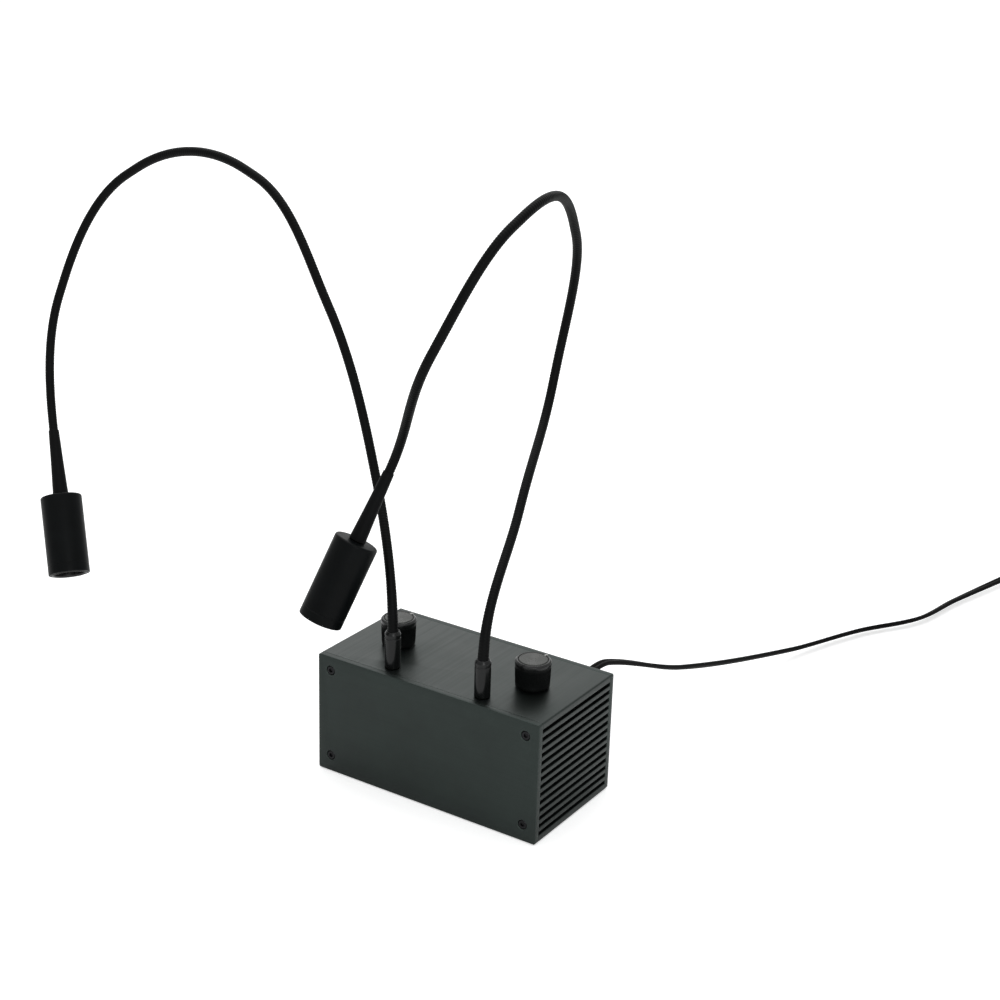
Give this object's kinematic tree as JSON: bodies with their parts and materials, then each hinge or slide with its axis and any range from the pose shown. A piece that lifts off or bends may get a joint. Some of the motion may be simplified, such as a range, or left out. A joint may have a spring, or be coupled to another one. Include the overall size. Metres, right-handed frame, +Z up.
{
  "type": "twin gooseneck bench light",
  "caption": "Bench light with a finned aluminium driver housing, dimmer knobs on top and bendable gooseneck arms carrying cylindrical LED lamp heads, on a flat low-voltage cord.",
  "frame": {"origin": "middle of the rubber foot's underside, on the bench", "axes": "+Z up, -Y out of the front plate, +X towards the cord side (right, seen from the front)"},
  "size_m": [0.4445, 0.5505, 0.2983],
  "materials": {
    "anodised": "black anodised, fine satin",
    "plate": "black anodised, fine satin",
    "foot_rubber": "matte",
    "black_steel": "black oxide",
    "steel": "bright",
    "dimmer": "matte",
    "knob_black": "satin",
    "cap": "dark satin",
    "board": "solder resist",
    "capacitor": "sleeved",
    "ferrite": "bare core and winding",
    "arm": "matte black coated",
    "lamp": "black anodised",
    "boot": "matte",
    "led_board": "white solder resist",
    "led": "phosphor dome",
    "lens": "clear polished",
    "cord": "matte"
  },
  "bodies": {
    "base": {"housing": "anodised", "front_plate": "plate", "rear_plate": "plate", "base_pad": "foot_rubber", "screw_front_left_low": "black_steel", "screw_front_left_high": "black_steel", "screw_front_right_low": "black_steel", "screw_front_right_high": "black_steel", "screw_rear_left_low": "black_steel", "screw_rear_left_high": "black_steel", "screw_rear_right_low": "black_steel", "screw_rear_right_high": "black_steel", "driver_board": "board", "filter_capacitor": "capacitor", "power_inductor": "ferrite", "dimmer_body_left": "dimmer", "dimmer_nut_left": "steel", "ferrule_left": "lamp", "ferrule_nut_left": "steel", "dimmer_body_right": "dimmer", "dimmer_nut_right": "steel", "ferrule_right": "lamp", "ferrule_nut_right": "steel", "power_cord": "cord", "cord_grommet": "cord", "plug_body": "cord", "plug_barrel": "steel"},
    "left_knob": {"knob_left": "knob_black", "knob_cap_left": "cap", "dimmer_shaft_left": "steel"},
    "right_knob": {"knob_right": "knob_black", "knob_cap_right": "cap", "dimmer_shaft_right": "steel"},
    "left_neck_1": {"gooseneck_left_1": "arm"},
    "left_neck_2": {"gooseneck_left_2": "arm"},
    "left_neck_3": {"gooseneck_left_3": "arm"},
    "left_neck_4": {"gooseneck_left_4": "arm"},
    "left_neck_5": {"gooseneck_left_5": "arm"},
    "left_neck_6": {"gooseneck_left_6": "arm"},
    "left_lamp": {"boot_left": "boot", "lamp_shell_left": "lamp", "lamp_grub_screw_left": "black_steel", "led_board_left": "led_board", "led_emitter_left": "led", "lens_left": "lens", "bezel_left": "cap"},
    "right_neck_1": {"gooseneck_right_1": "arm"},
    "right_neck_2": {"gooseneck_right_2": "arm"},
    "right_neck_3": {"gooseneck_right_3": "arm"},
    "right_neck_4": {"gooseneck_right_4": "arm"},
    "right_neck_5": {"gooseneck_right_5": "arm"},
    "right_neck_6": {"gooseneck_right_6": "arm"},
    "right_lamp": {"boot_right": "boot", "lamp_shell_right": "lamp", "lamp_grub_screw_right": "black_steel", "led_board_right": "led_board", "led_emitter_right": "led", "lens_right": "lens", "bezel_right": "cap"}
  },
  "joints": [
    {"name": "left_dimmer_turn", "type": "hinge", "parent": "base", "child": "left_knob", "pos_m": [-0.04, -0.0012, 0.0725], "axis": [0, 0, 1], "range_deg": [-140, 140]},
    {"name": "right_dimmer_turn", "type": "hinge", "parent": "base", "child": "right_knob", "pos_m": [0.04, -0.0012, 0.0725], "axis": [0, 0, 1], "range_deg": [-140, 140]},
    {"name": "left_foot_lean", "type": "hinge", "parent": "base", "child": "left_neck_1", "pos_m": [-0.0265, -0.0246, 0.085], "axis": [0.0101, 0.9957, -0.0921], "range_deg": [-10, 14]},
    {"name": "left_lower_sway", "type": "hinge", "parent": "left_neck_1", "child": "left_neck_2", "pos_m": [-0.06065, 0.00461, 0.15288], "axis": [0.2991, 0.9437, -0.141], "range_deg": [-10, 16]},
    {"name": "left_lower_bend", "type": "hinge", "parent": "left_neck_2", "child": "left_neck_3", "pos_m": [-0.10038, 0.01929, 0.22455], "axis": [0.0443, -0.9736, 0.224], "range_deg": [-12, 14]},
    {"name": "left_upper_bend", "type": "hinge", "parent": "left_neck_3", "child": "left_neck_4", "pos_m": [-0.15784, 0.02982, 0.28166], "axis": [-0.0118, -0.9854, 0.1697], "range_deg": [-12, 14]},
    {"name": "left_drop_bend", "type": "hinge", "parent": "left_neck_4", "child": "left_neck_5", "pos_m": [-0.23911, 0.02923, 0.27258], "axis": [-0.0253, -0.9571, 0.2887], "range_deg": [-14, 15]},
    {"name": "left_end_bend", "type": "hinge", "parent": "left_neck_5", "child": "left_neck_6", "pos_m": [-0.27728, 0.01051, 0.20718], "axis": [-0.0549, -0.951, 0.3042], "range_deg": [-14, 15]},
    {"name": "left_lamp_tilt", "type": "hinge", "parent": "left_neck_6", "child": "left_lamp", "pos_m": [-0.263, -0.015, 0.13], "axis": [-0.1664, -0.945, 0.2816], "range_deg": [-22, 22]},
    {"name": "right_foot_lean", "type": "hinge", "parent": "base", "child": "right_neck_1", "pos_m": [0.0265, -0.0246, 0.085], "axis": [0.0105, 0.983, -0.1835], "range_deg": [-12, 14]},
    {"name": "right_lower_sway", "type": "hinge", "parent": "right_neck_1", "child": "right_neck_2", "pos_m": [0.00993, 0.02964, 0.13923], "axis": [0.3439, -0.5572, 0.7558], "range_deg": [-14, 14]},
    {"name": "right_lower_bend", "type": "hinge", "parent": "right_neck_2", "child": "right_neck_3", "pos_m": [-0.01052, 0.09063, 0.18656], "axis": [0.9087, 0.3992, -0.122], "range_deg": [-16, 0]},
    {"name": "right_upper_bend", "type": "hinge", "parent": "right_neck_3", "child": "right_neck_4", "pos_m": [0.00716, 0.07571, 0.26935], "axis": [0.9703, 0.1645, -0.1775], "range_deg": [-16, 0]},
    {"name": "right_drop_bend", "type": "hinge", "parent": "right_neck_4", "child": "right_neck_5", "pos_m": [0.02401, -0.00143, 0.28998], "axis": [0.9068, 0.0878, -0.4123], "range_deg": [-16, 0]},
    {"name": "right_end_bend", "type": "hinge", "parent": "right_neck_5", "child": "right_neck_6", "pos_m": [0.00192, -0.03289, 0.2347], "axis": [0.9007, 0.1075, -0.421], "range_deg": [-16, 0]},
    {"name": "right_lamp_tilt", "type": "hinge", "parent": "right_neck_6", "child": "right_lamp", "pos_m": [-0.035, -0.02, 0.159], "axis": [-0.8667, -0.3403, 0.3648], "range_deg": [-10, 22]}
  ],
  "couplings": [
    {"joint": "left_upper_bend", "follows": "left_lower_bend", "ratio": 1},
    {"joint": "left_end_bend", "follows": "left_drop_bend", "ratio": 1},
    {"joint": "right_upper_bend", "follows": "right_lower_bend", "ratio": 1},
    {"joint": "right_end_bend", "follows": "right_drop_bend", "ratio": 1}
  ]
}
